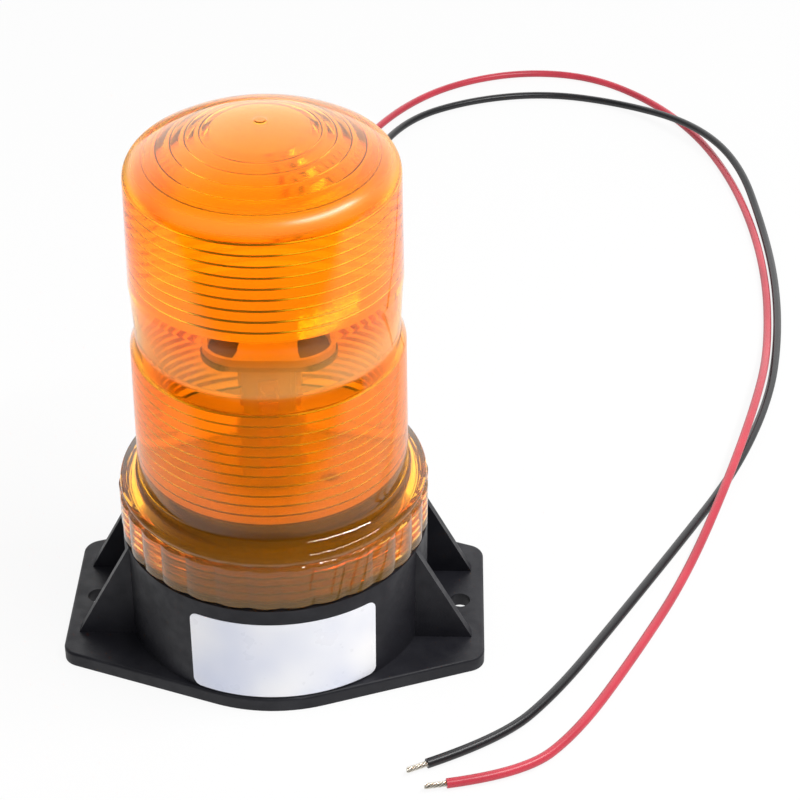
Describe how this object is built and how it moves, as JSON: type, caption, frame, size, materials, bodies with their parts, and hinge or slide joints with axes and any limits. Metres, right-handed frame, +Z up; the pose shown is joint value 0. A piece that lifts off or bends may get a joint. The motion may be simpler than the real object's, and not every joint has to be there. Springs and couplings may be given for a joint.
{
  "type": "strobe light",
  "caption": "Machine warning strobe light: amber ribbed screw-on lens over an LED tower, on a black flanged housing with two mounting holes and loose power leads.",
  "frame": {"origin": "centre of the underside of the flange, on the axis of the lens", "axes": "+Z up along the lens axis, X along the line through the two mounting holes, label side towards -Y"},
  "size_m": [0.2145, 0.3971, 0.1523],
  "materials": {
    "black_plastic": "fine moulded grain",
    "amber_lens": "clear amber, polished",
    "white_plastic": "satin white",
    "board": "solder mask",
    "led": "phosphor",
    "label": "satin film",
    "rubber": "matte",
    "red_pvc": "satin wire insulation",
    "black_pvc": "satin wire insulation",
    "tinned_copper": "tinned strands",
    "steel": "zinc plated",
    "dark_metal": "black anodised",
    "component": "sleeved"
  },
  "bodies": {
    "base": {"base_housing": "black_plastic", "bottom_cover": "black_plastic", "cover_screws": "steel", "cable_grommet": "rubber", "rating_label": "label", "driver_board": "board", "board_screws": "steel", "input_capacitor": "component", "output_capacitor": "component", "filter_inductor": "component", "driver_chips": "component", "jumper_wires": "red_pvc", "led_plate": "white_plastic", "led_post": "white_plastic", "led_board_front": "white_plastic", "led_board_right": "white_plastic", "led_board_back": "white_plastic", "led_board_left": "white_plastic", "led_chips_front": "led", "led_chips_right": "led", "led_chips_back": "led", "led_chips_left": "led", "heat_spreader": "dark_metal", "tower_cap": "white_plastic", "tower_screw": "steel", "lead_red_inner": "red_pvc", "lead_black_inner": "black_pvc", "lead_red": "red_pvc", "lead_black": "black_pvc", "lead_red_tip": "tinned_copper", "lead_black_tip": "tinned_copper"},
    "lens_seal": {"lens_seal": "rubber"},
    "lens": {"lens_collar": "amber_lens", "lens_lower_drum": "amber_lens", "lens_upper_drum": "amber_lens", "lens_dome": "amber_lens"}
  },
  "joints": [
    {"name": "lens_rise", "type": "slide", "parent": "base", "child": "lens_seal", "axis": [0, 0, 1], "range_m": [0, 0.00875]},
    {"name": "lens_turn", "type": "hinge", "parent": "lens_seal", "child": "lens", "pos_m": [0, 0, 0.04], "axis": [0, 0, 1], "range_deg": [0, 1260]}
  ],
  "couplings": [
    {"joint": "lens_rise", "follows": "lens_turn", "m_per_rad": 0.00039789}
  ]
}
